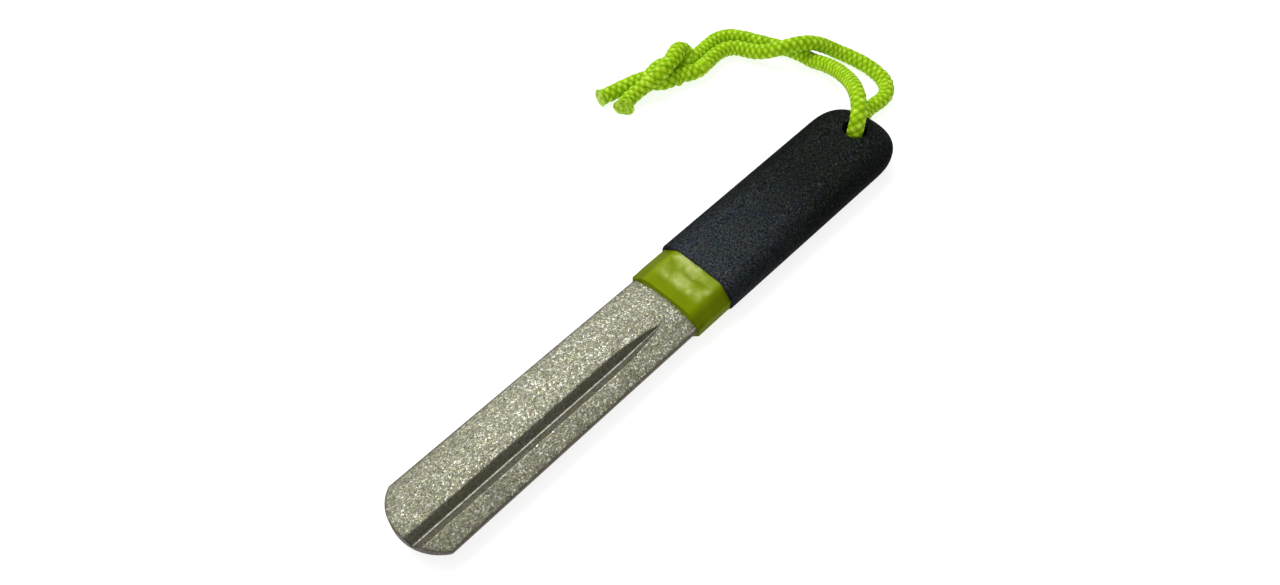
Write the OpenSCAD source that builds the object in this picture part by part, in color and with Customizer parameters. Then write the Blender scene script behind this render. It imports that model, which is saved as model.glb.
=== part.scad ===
// Pocket knife sharpening steel: a flat, crowned, grit-coated steel file with a V groove
// for fish hooks and points, moulded into a two-colour handle with a knotted lanyard.
//
// Frame: +X runs from the file's tip to the handle's end, +Z is up, and Z = 0 is the
// flat base that the handle lies on. The origin is under the middle of the tool.

/* [File] */
// Length of the file in front of the collar, to the crown of its rounded tip
blade_len = 74.5; // [50:0.5:110]
// Width of the file
blade_w = 19; // [16:0.5:20]
// Height of the file's plain side walls
blade_wall = 1.1; // [0.8:0.1:1.6]
// Rise of the crowned top above the side walls
blade_crown = 2.2; // [1.8:0.1:2.6]
// How far the tip's arc stands in front of the file's corners
tip_sagitta = 5.1; // [3:0.1:8]

/* [Hook groove] */
// Depth of the V groove below the crowned surface
groove_depth = 1.95; // [1.2:0.05:2.1]
// Distance of the groove's middle from the file's centre line, at the surface
groove_offset = 3.6; // [2:0.1:5]
// Gap between the groove's pointed end and the collar
groove_gap = 4.5; // [3:0.5:20]
// Radius of the grinding wheel that leaves the groove's run-out
wheel_r = 70; // [60:5:200]

/* [Tang] */
// Width of the flat tang inside the handle
tang_w = 15; // [12:0.5:16]
// Thickness of the tang
tang_t = 2.6; // [2:0.1:3]
// Length of the tang behind the collar's front
tang_len = 62; // [40:1:62]
// Diameter of the holes that the handle's plastic fills to lock the tang
lock_hole_d = 6; // [4:0.5:8]

/* [Collar] */
// Length of the collar in front of the grip
collar_len = 10.4; // [8:0.2:16]
// Width of the collar
collar_w = 20.2; // [20:0.1:21]
// Height of the collar above the handle's mid plane
collar_rise = 4.25; // [3.6:0.05:4.4]

/* [Grip] */
// Length of the grip
grip_len = 66.6; // [60:0.1:100]
// Width of the grip at its front edge
grip_front_w = 21.5; // [21.2:0.1:23]
// Width of the grip where its rounded end begins
grip_back_w = 22.2; // [21.6:0.1:24]
// Thickness of the grip
grip_t = 10; // [10:0.1:12]
// Length of the rounded end
end_len = 12.2; // [9:0.1:16]
// Thickness of the rubber over the carrier's flat faces
rubber_t = 2; // [1.8:0.1:2.4]

/* [Lanyard] */
// Diameter of the lanyard hole
hole_d = 6.2; // [5.6:0.1:7]
// Distance of the hole's centre from the handle's end
hole_setback = 8.5; // [7.5:0.1:9]
// Diameter of the braided cord
cord_d = 4; // [3:0.1:4]

/* [Hidden] */

// Places along the tool
total_len = blade_len + collar_len + grip_len;
tip_x = -total_len / 2;
collar_x = tip_x + blade_len;
grip_x = collar_x + collar_len;
end_x = total_len / 2;
round_x = end_x - end_len;
hole_x = end_x - hole_setback;

// Heights
mid_z = grip_t / 2;
blade_base_z = mid_z - blade_wall;
blade_top_z = mid_z + blade_crown;
// Radius of the file's crowned top
crown_r = (blade_w * blade_w / 4 + blade_crown * blade_crown) / (2 * blade_crown);

// How square the handle's section and its rounded end are: 2 is an ellipse
section_power = 2.6;
end_power = 2.6;
// The lower half of the grip's section is this much taller, so that the base cuts a flat
base_stretch = 1.06;

// Channel under the handle's end, where the cord runs out from the hole
channel_w = 5;
channel_h = 4.8;
channel_turn = 20;
// Thickness of the rubber that lines the hole and the channel, so that no green shows there
lining_t = 1;

// Places of the lock holes, as fractions of the tang's length
lock_holes = [0.28, 0.72];

// Detail: a join's overlap, how far a cutter stands past what it cuts, and facet counts
eps = 0.01;
margin = 1;
cord_sides = 8;
round_fn = 96;
wheel_fn = 720;

// ---- Shared maths ----

// A superellipse's height at the fraction t of its half width
function squircle(t, power) = pow(max(0, 1 - pow(abs(t), power)), 1 / power);

// Radius of the arc that rises by s over the half chord h
function arc_radius(h, s) = (h * h + s * s) / (2 * s);

// Plan outline of the grip, drawn in by inset, from the front edge round the end and back
function grip_outline(inset, steps = 16) =
    let (
        w = grip_back_w / 2,
        reach = end_len - inset * end_len / w,
        side = [for (i = [0:steps]) let (a = 90 * i / steps)
            [
                round_x + reach * pow(sin(a), 2 / end_power),
                (w - inset) * pow(cos(a), 2 / end_power)
            ]]
    )
    concat(
        [[grip_x, grip_front_w / 2 - inset]],
        side,
        [for (i = [steps - 1:-1:0]) [side[i][0], -side[i][1]]],
        [[grip_x, inset - grip_front_w / 2]]
    );

// Section of the collar across the tool, from +Y over the top to -Y and back along the base.
// wall is the depth of its side walls below the mid plane, and foot the width of its base bevels
function collar_section(steps = 12) =
    let (wall = 2, foot = 2.6)
    concat(
        [for (i = [-steps:steps]) let (a = 90 * i / steps, s = sin(a))
            [
                -sign(s) * collar_w / 2 * pow(abs(s), 2 / section_power),
                mid_z + collar_rise * pow(cos(a), 2 / section_power)
            ]],
        [
            [-collar_w / 2, mid_z - wall],
            [foot - collar_w / 2, 0],
            [collar_w / 2 - foot, 0],
            [collar_w / 2, mid_z - wall]
        ]
    );

// ---- Steel blade ----

// Plan of the exposed file: parallel sides and an arc at the tip
module blade_plan() {
    tip_r = arc_radius(blade_w / 2, tip_sagitta);
    intersection() {
        translate([tip_x, -blade_w / 2])
            square([blade_len, blade_w]);
        union() {
            translate([tip_x + tip_r, 0])
                circle(r = tip_r, $fn = round_fn);
            translate([tip_x + tip_r, -blade_w / 2])
                square([blade_len - tip_r, blade_w]);
        }
    }
}

// The crowned bar, as a slice of a long round bar
module crowned_bar() {
    intersection() {
        translate([0, 0, blade_base_z])
            linear_extrude(blade_wall + blade_crown + margin)
            blade_plan();
        translate([tip_x - margin, 0, blade_top_z - crown_r])
            rotate([0, 90, 0])
            cylinder(r = crown_r, h = blade_len + 2 * margin, $fn = wheel_fn);
    }
}

// V groove: straight from the tip, then lifting out on the wheel's radius. It is cut square
// to the crowned surface, so it leans with the surface there
module hook_groove() {
    lean = asin(groove_offset / crown_r);
    run_out = sqrt(2 * wheel_r * groove_depth);
    wheel_x = collar_x - groove_gap - run_out;
    v_h = 4;
    translate([0, 0, blade_top_z - crown_r])
        rotate([lean, 0, 0])
        translate([0, 0, crown_r - groove_depth]) {
            translate([tip_x - margin, 0, 0])
                rotate([90, 0, 90])
                linear_extrude(wheel_x - tip_x + margin)
                polygon([[0, 0], [v_h, v_h], [-v_h, v_h]]);
            translate([wheel_x, 0, wheel_r])
                for (side = [-90, 90])
                    rotate([side, 0, 0])
                    cylinder(h = v_h, r1 = wheel_r, r2 = wheel_r - v_h, $fn = wheel_fn);
        }
}

// Flat tang with a chamfered end and the two lock holes
module tang() {
    chamfer = 3;
    difference() {
        translate([0, 0, blade_base_z])
            linear_extrude(tang_t)
            polygon([
                [collar_x - eps, -tang_w / 2],
                [collar_x + tang_len - chamfer, -tang_w / 2],
                [collar_x + tang_len, chamfer - tang_w / 2],
                [collar_x + tang_len, tang_w / 2 - chamfer],
                [collar_x + tang_len - chamfer, tang_w / 2],
                [collar_x - eps, tang_w / 2]
            ]);
        for (part = lock_holes)
            translate([collar_x + part * tang_len, 0, blade_base_z - margin])
                cylinder(d = lock_hole_d, h = tang_t + 2 * margin, $fn = round_fn);
    }
}

module steel_blade() {
    color([0.56, 0.55, 0.48])
        difference() {
            union() {
                crowned_bar();
                tang();
            }
            hook_groove();
        }
}

// ---- Handle ----

// Lanyard hole and the channel that leads the cord out under the handle's end, both wider
// by spare all round
module lanyard_way(spare = 0) {
    translate([hole_x, 0, -margin])
        cylinder(d = hole_d + 2 * spare, h = grip_t + 2 * margin, $fn = round_fn);
    translate([hole_x, 0, -margin])
        rotate([0, 0, channel_turn])
        translate([0, -channel_w / 2 - spare, 0])
        cube([hole_setback + end_len, channel_w + 2 * spare, channel_h + spare + margin]);
}

// Collar: its section along the tool, with the top's front edge sloped back
module collar() {
    slope_len = 2.4;
    slope_h = 0.35;
    top_z = mid_z + collar_rise;
    intersection() {
        translate([collar_x, 0, 0])
            rotate([90, 0, 90])
            linear_extrude(collar_len)
            polygon(collar_section());
        translate([0, collar_w, 0])
            rotate([90, 0, 0])
            linear_extrude(2 * collar_w)
            polygon([
                [collar_x, 0],
                [grip_x, 0],
                [grip_x, top_z + margin],
                [collar_x + slope_len, top_z + margin],
                [collar_x + slope_len, top_z],
                [collar_x, top_z - slope_h]
            ]);
    }
}

// Carrier: the part of the core inside the rubber, an eight-sided bar with a rounded end that
// stops short of the grip's, so that the rubber covers its upper edge there
module carrier() {
    side_inset = 1.7;
    end_gap = 2.6;
    bevel = 1.9;
    half_h = grip_t / 2 - rubber_t;
    half_b = grip_back_w / 2 - side_inset;
    intersection() {
        translate([0, 0, mid_z - half_h])
            linear_extrude(2 * half_h)
            polygon(grip_outline(side_inset));
        translate([grip_x, 0, mid_z])
            rotate([90, 0, 90])
            linear_extrude(grip_len - end_gap)
            polygon([
                [half_b, half_h - bevel],
                [half_b - 2 * bevel, half_h],
                [2 * bevel - half_b, half_h],
                [-half_b, half_h - bevel],
                [-half_b, bevel - half_h],
                [2 * bevel - half_b, -half_h],
                [half_b - 2 * bevel, -half_h],
                [half_b, bevel - half_h]
            ]);
    }
}

module handle_core() {
    color([0.55, 0.64, 0.12])
        difference() {
            union() {
                collar();
                carrier();
            }
            tang();
            lanyard_way(lining_t);
        }
}

// Outside of the grip: plan outlines stacked through its height, rounded over top and base.
// ridge is the half width of the flat strip left along the top
module grip_form() {
    ridge = 1;
    turn = 12;
    lower_steps = 5;
    lower = [for (i = [-lower_steps:-1]) i / lower_steps];
    upper = [for (a = [0:turn:90 - turn / 2]) sin(a)];
    hull() {
        for (t = concat(lower, upper, [1])) {
            reach = t < 0 ? t / base_stretch : t;
            inset = grip_back_w / 2 * (1 - squircle(reach, section_power));
            translate([0, 0, min(mid_z * (1 + t), grip_t - eps)])
                linear_extrude(eps)
                polygon(grip_outline(min(inset, grip_back_w / 2 - ridge)));
        }
    }
}

module grip_sleeve() {
    color([0.13, 0.13, 0.14])
        difference() {
            grip_form();
            difference() {
                carrier();
                lanyard_way(lining_t);
            }
            lanyard_way();
        }
}

// ---- Lanyard ----

// Route of strand A: from inside the hole out of its top, over the handle's edge, down to
// the table, under strand B and round to the knot
route_a = [
    [66.6, -0.5, 8],
    [66.8, -0.4, 9.8],
    [67.7, 0.1, 11.7],
    [69.6, 1.4, 13.1],
    [72.6, 3.9, 13.6],
    [76.2, 7.4, 12.5],
    [80.1, 11.8, 10],
    [83.7, 17, 7],
    [86.1, 22.2, 4.3],
    [86.9, 26.8, 2.3],
    [86.8, 30.7, 2.1],
    [86, 34.2, 2.1],
    [84.7, 37.4, 2.1],
    [83.3, 40.4, 2.1],
    [81.9, 43.4, 2.1],
    [80.4, 46.9, 2.1],
    [78.2, 49.8, 2.1],
    [75, 51.2, 2.1],
    [71.4, 51.2, 2.1],
    [67.7, 50.8, 2.3],
    [64.4, 50.5, 2.8],
    [61.6, 50.4, 3.3]
];

// Route of strand B: from inside the hole out of its foot, along the channel, round on the
// table, in a low hump over strand A and back beside it to the knot
route_b = [
    [66.6, -0.5, 8],
    [66.7, -0.5, 6.6],
    [67.2, -0.3, 5.1],
    [68.2, 0, 3.7],
    [69.8, 0.6, 2.6],
    [72.4, 1.6, 2.1],
    [75.6, 3, 2.1],
    [79, 4.6, 2.1],
    [82.4, 5.3, 2.1],
    [86, 5, 2.1],
    [89.4, 5, 2.1],
    [92.2, 6.3, 2.1],
    [94.3, 8.7, 2.1],
    [95.4, 11.9, 2.1],
    [95.8, 16, 2.1],
    [95.5, 20.2, 2.1],
    [94.2, 23.9, 2.6],
    [91.8, 26.6, 4.3],
    [89, 28.5, 6],
    [86, 30.4, 6.8],
    [83.2, 32.4, 6.5],
    [80.8, 34.6, 5.5],
    [79, 37.1, 4.1],
    [77.8, 39.8, 3.1],
    [76.9, 42.4, 2.7],
    [75.6, 44.7, 2.7],
    [73.4, 46.3, 2.7],
    [70.4, 46.9, 2.7],
    [67, 46.6, 2.8],
    [64, 46.2, 3],
    [61.2, 46, 3.2]
];

// Routes of the two tails, from the knot to their melted ends
tail_a = [
    [49.9, 53.8, 2.8],
    [48.2, 54.8, 2.5],
    [45.8, 55.8, 2.2],
    [42.4, 56.6, 2.1],
    [39, 57.2, 2.1],
    [36, 57.9, 2.2]
];
tail_b = [
    [48.3, 50.7, 5],
    [46.2, 51.3, 4],
    [43.7, 52.1, 2.8],
    [41.4, 52.2, 2.2],
    [39.4, 51.8, 2.2],
    [37.8, 50.8, 2.2]
];

// The direction of a route at point i, and the sideways and upward directions there
function heading(route, i) =
    let (a = route[max(0, i - 1)], b = route[min(len(route) - 1, i + 1)])
    (b - a) / norm(b - a);
function sideways(dir, ref) = let (s = cross(ref, dir)) s / norm(s);

// Reference directions carried along the route, so that the tube doesn't twist
function carried(route, i, ref) =
    let (dir = heading(route, i), kept = ref - (ref * dir) * dir, unit = kept / norm(kept))
    i == len(route) - 1 ? [unit] : concat([unit], carried(route, i + 1, unit));

// A tube of diameter d swept along a route
module tube(route, d, first_ref = [0, 1, 0]) {
    refs = carried(route, 0, first_ref);
    last = len(route) - 1;
    points = [
        for (i = [0:last])
            let (side = sideways(heading(route, i), refs[i]))
            for (k = [0:cord_sides - 1])
                let (a = 360 * k / cord_sides)
                route[i] + d / 2 * (cos(a) * refs[i] + sin(a) * side)
    ];
    walls = [
        for (i = [0:last - 1])
            for (k = [0:cord_sides - 1])
                let (n = (k + 1) % cord_sides, base = i * cord_sides)
                [base + k, base + cord_sides + k, base + cord_sides + n, base + n]
    ];
    start_cap = [for (k = [0:cord_sides - 1]) k];
    end_cap = [for (k = [cord_sides - 1:-1:0]) last * cord_sides + k];
    polyhedron(points, concat([start_cap], walls, [end_cap]), convexity = 10);
}

module cord_colour() {
    color([0.55, 0.82, 0.12])
        children();
}

module lanyard_strand_a() {
    cord_colour()
        tube(route_a, cord_d);
}

module lanyard_strand_b() {
    cord_colour()
        tube(route_b, cord_d);
}

// Overhand knot: the outer shape of the two strands tied together. Each entry is a bulge's
// centre and its radius in cord diameters
module lanyard_knot() {
    bulges = [
        [[59.6, 49.2, 4.4], 1],
        [[60, 52.2, 6.4], 0.6],
        [[55, 50.2, 4.6], 1.08],
        [[50.8, 51, 4.4], 0.92]
    ];
    cord_colour()
        hull() {
            for (bulge = bulges)
                translate(bulge[0])
                sphere(r = bulge[1] * cord_d, $fn = 24);
        }
}

module lanyard_tail_a() {
    cord_colour()
        tube(tail_a, cord_d);
}

module lanyard_tail_b() {
    cord_colour()
        tube(tail_b, cord_d);
}

steel_blade();
handle_core();
grip_sleeve();
lanyard_strand_a();
lanyard_strand_b();
lanyard_knot();
lanyard_tail_a();
lanyard_tail_b();
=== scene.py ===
# %% [markdown] # A pocket sharpening steel The tool is a flat steel file coated with coarse
# grit. Its tang is moulded into a green plastic core with a black rubber grip over it, and it
# carries a knotted loop of braided lime cord.

import math

import bmesh
import bpy
from mathutils import Matrix, Vector, noise


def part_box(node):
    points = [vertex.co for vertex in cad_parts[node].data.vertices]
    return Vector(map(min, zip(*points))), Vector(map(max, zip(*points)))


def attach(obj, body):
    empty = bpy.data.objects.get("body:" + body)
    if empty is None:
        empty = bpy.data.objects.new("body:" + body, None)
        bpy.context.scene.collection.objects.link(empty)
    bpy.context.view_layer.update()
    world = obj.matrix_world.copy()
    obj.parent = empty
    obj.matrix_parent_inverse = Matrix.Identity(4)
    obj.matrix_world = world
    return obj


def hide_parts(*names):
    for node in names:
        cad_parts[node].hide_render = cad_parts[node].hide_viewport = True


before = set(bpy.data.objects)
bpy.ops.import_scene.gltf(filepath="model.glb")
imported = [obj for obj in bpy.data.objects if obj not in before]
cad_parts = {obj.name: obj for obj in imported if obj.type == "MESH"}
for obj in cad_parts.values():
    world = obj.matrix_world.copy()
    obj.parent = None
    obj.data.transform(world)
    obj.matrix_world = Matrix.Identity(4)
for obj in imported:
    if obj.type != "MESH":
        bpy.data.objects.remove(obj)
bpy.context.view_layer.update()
MM = 0.001
MICRON = 0.001 * MM

# %% [markdown]
# ## Camera
# The camera looks down on the tool from above the tip, about 55 degrees over the horizon.
# Two points are easier to think about than three angles: where it stands, and what it aims at.
# Its right-hand direction is given too, because it leans a little from level.

# %% Camera
SENSOR_MM, LENS_MM = 36, 28.125
CAMERA_PLACE = Vector((-97.53, -79.4, 187.69)) * MM
CAMERA_AIM = Vector((-0.25, 8.6, 0)) * MM
CAMERA_RIGHT = Vector((0.6898, -0.7238, 0.018)).normalized()

camera = bpy.data.objects.new("camera", bpy.data.cameras.new("camera"))
bpy.context.collection.objects.link(camera)
camera.data.sensor_width = SENSOR_MM
camera.data.lens = LENS_MM
camera.data.clip_start = 5 * MM
view_line = CAMERA_PLACE - CAMERA_AIM
back = view_line.normalized()
right = (CAMERA_RIGHT - CAMERA_RIGHT.dot(back) * back).normalized()
turn = Matrix((right, back.cross(right), back)).transposed().to_4x4()
camera.matrix_world = Matrix.Translation(CAMERA_PLACE) @ turn
bpy.context.scene.camera = camera
print("camera distance, mm:", round(view_line.length / MM))

# %% [markdown]
# ## From a mesh to a piece
# Every piece is built as a bmesh, the form of mesh that Blender's mesh operators work on.
# `make_piece` turns it into an object, shades it smooth apart from its sharp edges, lets it ride on the
# tool's one body, and hides the CAD nodes it stands for. Objects stay at the origin, so a piece's place is
# in its mesh.

# %% Piece helpers
def shade_smooth(mesh, sharp_degrees):
    """Shades a mesh smooth, apart from the edges that turn more than an angle."""
    mesh.polygons.foreach_set("use_smooth", [True] * len(mesh.polygons))
    mesh.set_sharp_from_angle(angle=math.radians(sharp_degrees))


def make_piece(name, bm, replaced, sharp_degrees):
    """Turns a bmesh into an object that rides on the tool and stands for CAD nodes."""
    mesh = bpy.data.meshes.new(name)
    bm.to_mesh(mesh)
    bm.free()
    shade_smooth(mesh, sharp_degrees)
    piece = bpy.data.objects.new(name, mesh)
    bpy.context.collection.objects.link(piece)
    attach(piece, "root")
    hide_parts(*replaced)
    print(name, len(mesh.polygons), "faces")
    return piece


def add_mesh(bm, other):
    """Adds one bmesh to another, and frees the one that was added."""
    mesh = bpy.data.meshes.new("part")
    other.to_mesh(mesh)
    other.free()
    bm.from_mesh(mesh)
    bpy.data.meshes.remove(mesh)


# %% [markdown]
# ## Rolled grids
# Most pieces here start as a flat grid from `bmesh.ops.create_grid`. Each vertex has two
# coordinates from 0 to 1, and moving the vertices by a formula of the two rolls the grid into a
# tube or drapes it over a form. A crisp line on the real piece can have a row of its own. The
# other helpers here close such a mesh and round its edges.

# %% Grid helpers
def rolled_grid(columns, rows):
    """A flat grid that runs from 0 to 1 both ways."""
    bm = bmesh.new()
    bmesh.ops.create_grid(bm, x_segments=columns, y_segments=rows, size=0.5)
    bmesh.ops.translate(bm, verts=bm.verts, vec=(0.5, 0.5, 0))
    return bm


def cap_open_ends(bm):
    """Fills a mesh's open ends, turns its faces outwards, and returns the edges it filled."""
    open_edges = [e for e in bm.edges if e.is_boundary]
    bmesh.ops.holes_fill(bm, edges=open_edges, sides=0)
    bmesh.ops.recalc_face_normals(bm, faces=bm.faces)
    return open_edges


def edges_at(bm, x):
    """The edges that lie in the plane across the tool at x."""
    return [e for e in bm.edges if all(abs(v.co.x - x) < MICRON for v in e.verts)]


def round_edges(bm, edges, width, segments):
    """Gives edges a round bevel."""
    bmesh.ops.bevel(bm, geom=edges, offset=width, offset_type="OFFSET", affect="EDGES",
                    segments=segments, profile=0.5, material=-1, clamp_overlap=True)


test_grid = rolled_grid(4, 3)
print("a 4 by 3 grid has", len(test_grid.verts), "vertices and", len(cap_open_ends(test_grid)), "open edges")
test_grid.free()

# %% [markdown]
# ## Small formulas
# Three formulas do much of the shaping: a straight blend between two values, an S-shaped step
# that starts and ends gently, and a rounded profile.

# %% Small formulas
def lerp(a, b, t):
    return a + (b - a) * t


def smooth_step(edge0, edge1, value):
    """0 at edge0 and before, 1 at edge1 and past it, with a gentle start and end."""
    t = min(1, max(0, (value - edge0) / (edge1 - edge0)))
    return t * t * (3 - 2 * t)


def squircle(t, power):
    """A superellipse's height at the fraction t of its half width."""
    return max(0, 1 - min(1, abs(t)) ** power) ** (1 / power)


print("a quarter of the way up a step:", smooth_step(0, 1, 0.25))

# %% [markdown]
# ## Routes of the lanyard
# The lanyard is one braided cord of 4 mm, doubled through the hole in the handle. Strand A
# leaves by the top of the hole, comes over the handle's edge, and falls to the table. Strand B
# leaves under the handle's end, curls round and passes over strand A in a low hump. Both end
# in one knot, and two short tails come out of it. The points are the same as the CAD model's,
# in millimetres.

# %% Route points
cord_d = 4 * MM

route_a = [
    (66.6, -0.5, 8), (66.8, -0.4, 9.8), (67.7, 0.1, 11.7), (69.6, 1.4, 13.1), (72.6, 3.9, 13.6),
    (76.2, 7.4, 12.5), (80.1, 11.8, 10), (83.7, 17, 7), (86.1, 22.2, 4.3), (86.9, 26.8, 2.3),
    (86.8, 30.7, 2.1), (86, 34.2, 2.1), (84.7, 37.4, 2.1), (83.3, 40.4, 2.1), (81.9, 43.4, 2.1),
    (80.4, 46.9, 2.1), (78.2, 49.8, 2.1), (75, 51.2, 2.1), (71.4, 51.2, 2.1), (67.7, 50.8, 2.3),
    (64.4, 50.5, 2.8), (61.6, 50.4, 3.3),
]
route_b = [
    (66.6, -0.5, 8), (66.7, -0.5, 6.6), (67.2, -0.3, 5.1), (68.2, 0, 3.7), (69.8, 0.6, 2.6),
    (72.4, 1.6, 2.1), (75.6, 3, 2.1), (79, 4.6, 2.1), (82.4, 5.3, 2.1), (86, 5, 2.1),
    (89.4, 5, 2.1), (92.2, 6.3, 2.1), (94.3, 8.7, 2.1), (95.4, 11.9, 2.1), (95.8, 16, 2.1),
    (95.5, 20.2, 2.1), (94.2, 23.9, 2.6), (91.8, 26.6, 4.3), (89, 28.5, 6), (86, 30.4, 6.8),
    (83.2, 32.4, 6.5), (80.8, 34.6, 5.5), (79, 37.1, 4.1), (77.8, 39.8, 3.1), (76.9, 42.4, 2.7),
    (75.6, 44.7, 2.7), (73.4, 46.3, 2.7), (70.4, 46.9, 2.7), (67, 46.6, 2.8), (64, 46.2, 3),
    (61.2, 46, 3.2),
]
tail_a = [
    (49.9, 53.8, 2.8), (48.2, 54.8, 2.5), (45.8, 55.8, 2.2), (42.4, 56.6, 2.1), (39, 57.2, 2.1),
    (36, 57.9, 2.2),
]
tail_b = [
    (48.3, 50.7, 5), (46.2, 51.3, 4), (43.7, 52.1, 2.8), (41.4, 52.2, 2.2), (39.4, 51.8, 2.2),
    (37.8, 50.8, 2.2),
]
print("route points:", [len(r) for r in (route_a, route_b, tail_a, tail_b)])

# %% [markdown]
# ## Smooth paths
# A cord bends smoothly, so the points are joined by a Catmull-Rom curve, which passes through
# every one of them. It is then walked in equal steps, so that the braid's lumps keep one length
# all along. A curve object could do this too, but the braid needs the distance at each point.

# %% Smooth paths
CURVE_STEPS = 16


def curve_point(p0, p1, p2, p3, t):
    """The point at the fraction t of the way from p1 to p2."""
    straight = 2 * p1 + (p2 - p0) * t
    bend = (2 * p0 - 5 * p1 + 4 * p2 - p3) * t * t
    twist = (3 * p1 - p0 - 3 * p2 + p3) * t ** 3
    return 0.5 * (straight + bend + twist)


def smooth_route(points, step=0.35):
    """Points every step mm along a smooth curve through the given ones, in metres."""
    knots = [Vector(p) for p in points]
    knots = [2 * knots[0] - knots[1], *knots, 2 * knots[-1] - knots[-2]]
    fine = []
    for four in zip(knots, knots[1:], knots[2:], knots[3:]):
        fine.extend(curve_point(*four, i / CURVE_STEPS) for i in range(CURVE_STEPS))
    fine.append(knots[-2])
    reach = [0]
    for a, b in zip(fine, fine[1:]):
        reach.append(reach[-1] + (b - a).length)
    count = max(2, round(reach[-1] / step))
    even = []
    j = 0
    for i in range(count + 1):
        want = reach[-1] * i / count
        while j < len(fine) - 2 and reach[j + 1] < want:
            j += 1
        share = (want - reach[j]) / (reach[j + 1] - reach[j])
        even.append(fine[j].lerp(fine[j + 1], min(1, share)) * MM)
    return even


def route_length(path):
    return sum((b - a).length for a, b in zip(path, path[1:]))


path_a = smooth_route(route_a)
path_b = smooth_route(route_b)
print("strand lengths, mm:", [round(route_length(p) / MM, 1) for p in (path_a, path_b)])

# %% [markdown]
# ## Braid
# A round braid has yarns that wind both ways and pass over and under each other. On the
# surface that shows as short, plump lumps on a diamond lattice. A bump map alone would leave
# the outline smooth, so the lumps are real here. The distances along and round the cord give
# two slanted coordinates, one for each way of winding, and the yarn on top changes from one
# diamond of that lattice to the next.

# %% Braid
YARNS = 8
BRAID_PITCH = 3.5 * MM


def hump(t, fullness, power):
    """A rounded hump: 0 at both ends of 0 to 1, and 1 in the middle."""
    return max(0, 1 - abs(2 * t - 1) ** fullness) ** power


def braid_height(along, around):
    """Height from 0 in the gaps to 1 on the crowns, for a place on the cord."""
    s = along / BRAID_PITCH * 2 + around * YARNS / 2
    t = along / BRAID_PITCH * 2 - around * YARNS / 2
    over = (math.floor(s) + math.floor(t)) % 2 == 0
    across, lengthwise = (s % 1, t % 1) if over else (t % 1, s % 1)
    return hump(across, 2.2, 0.6) * (0.35 + 0.65 * hump(lengthwise, 2.4, 0.7))


heights = [braid_height(BRAID_PITCH * k / 8, 0.05) for k in range(8)]
print("braid heights along one pitch:", [round(h, 2) for h in heights])

# %% [markdown]
# ## Braided tube
# The grid is rolled round the path, and each vertex stands out by the height of the yarn there.
# Two directions square to the path are carried from point to point with as little turning as
# they can, or the tube would twist. The height is kept in an attribute, `yarn`, and how far the
# cord is melted in another, `melt`, so that the material can follow both. A slight wobble of
# the width keeps the cord from looking machined.

# %% Braided tube
CORD_SIDES = 32
LUMP, LUMP_MIDDLE = 0.34 * MM, 0.75
WOBBLE, WOBBLE_SCALE = 0.05, 900
MELTED_HEIGHT = 0.6
LEAST_REACH = 0.02 * MM


def frames_along(path):
    """At each point of a path, two directions that are square to it."""
    last = len(path) - 1
    side = Vector((0, 1, 0))
    frames = []
    for i in range(len(path)):
        tangent = (path[min(i + 1, last)] - path[max(i - 1, 0)]).normalized()
        side = (side - side.dot(tangent) * tangent).normalized()
        frames.append((side, tangent.cross(side)))
    return frames


def plain(along, total):
    """The width factor and the melted share of a cord that is neither swollen nor melted."""
    return 1, 0


def braided_tube(path, radius, phase=0.0, shape=plain):
    """A closed braided cord along a path. phase shifts its lumps, and shape gives its width."""
    total = route_length(path)
    last = len(path) - 1
    frames = frames_along(path)
    bm = rolled_grid(last, CORD_SIDES)
    yarn = bm.verts.layers.float.new("yarn")
    melt = bm.verts.layers.float.new("melt")
    for vert in bm.verts:
        i = round(vert.co.x * last)
        around = vert.co.y % 1
        along = total * i / last
        width, melted = shape(along, total)
        height = braid_height(along + phase, around)
        angle = 2 * math.pi * around
        out = math.cos(angle) * frames[i][0] + math.sin(angle) * frames[i][1]
        wobble = WOBBLE * noise.noise(path[i] * WOBBLE_SCALE + out)
        lump = LUMP * (height - LUMP_MIDDLE) * (1 - melted) * min(1, width)
        reach = radius * (width + wobble * (1 - melted)) + lump
        vert[yarn] = lerp(height, MELTED_HEIGHT, melted)
        vert[melt] = melted
        vert.co = path[i] + out * max(reach, LEAST_REACH)
        vert.co.z = max(vert.co.z, 0)
    bmesh.ops.remove_doubles(bm, verts=bm.verts, dist=4 * MICRON)
    cap_open_ends(bm)
    return bm


# %% [markdown]
# ## Strands
# The two long strands are the plainest use of the tube. Strand B's braid is shifted along by a
# millimetre, so that the two don't show the same lumps side by side.

# %% Strands
CORD_SHARP = 70
strand_a = make_piece("braided_strand_a", braided_tube(path_a, cord_d / 2),
                      ["lanyard_strand_a"], CORD_SHARP)
strand_b = make_piece("braided_strand_b", braided_tube(path_b, cord_d / 2, phase=1 * MM),
                      ["lanyard_strand_b"], CORD_SHARP)

# %% [markdown]
# ## Cut ends
# The two tails were cut and melted so that they don't fray. The melt swells into a small
# rounded button, a little wider than the cord, and the last lumps of the braid fade into it.
# The tube's own width factor makes both the swelling and the rounded end, so no second mesh
# has to be joined on. The path gets closer points in its last millimetre for that.

# %% Tails
MELT_LEN, FLARE_LEN, DOME_LEN = 2.8 * MM, 0.8 * MM, 1.1 * MM
MELTED_MOST = 0.8
SWELLS = {"a": 0.2, "b": 0.42}
END_GAPS = (0.9, 0.76, 0.62, 0.5, 0.38, 0.28, 0.18, 0.1, 0.04, 0)


def melted_end(swell):
    """The shape of a tail whose end swells by a given share of its width."""
    def shape(along, total):
        left = total - along
        flare = 1 + swell * smooth_step(MELT_LEN, FLARE_LEN, left)
        closing = squircle(1 - left / DOME_LEN, 2.1) if left < DOME_LEN else 1
        melted = MELTED_MOST * smooth_step(MELT_LEN * 0.8, 0.9 * MM, left)
        return flare * max(closing, 0.02), melted
    return shape


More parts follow.
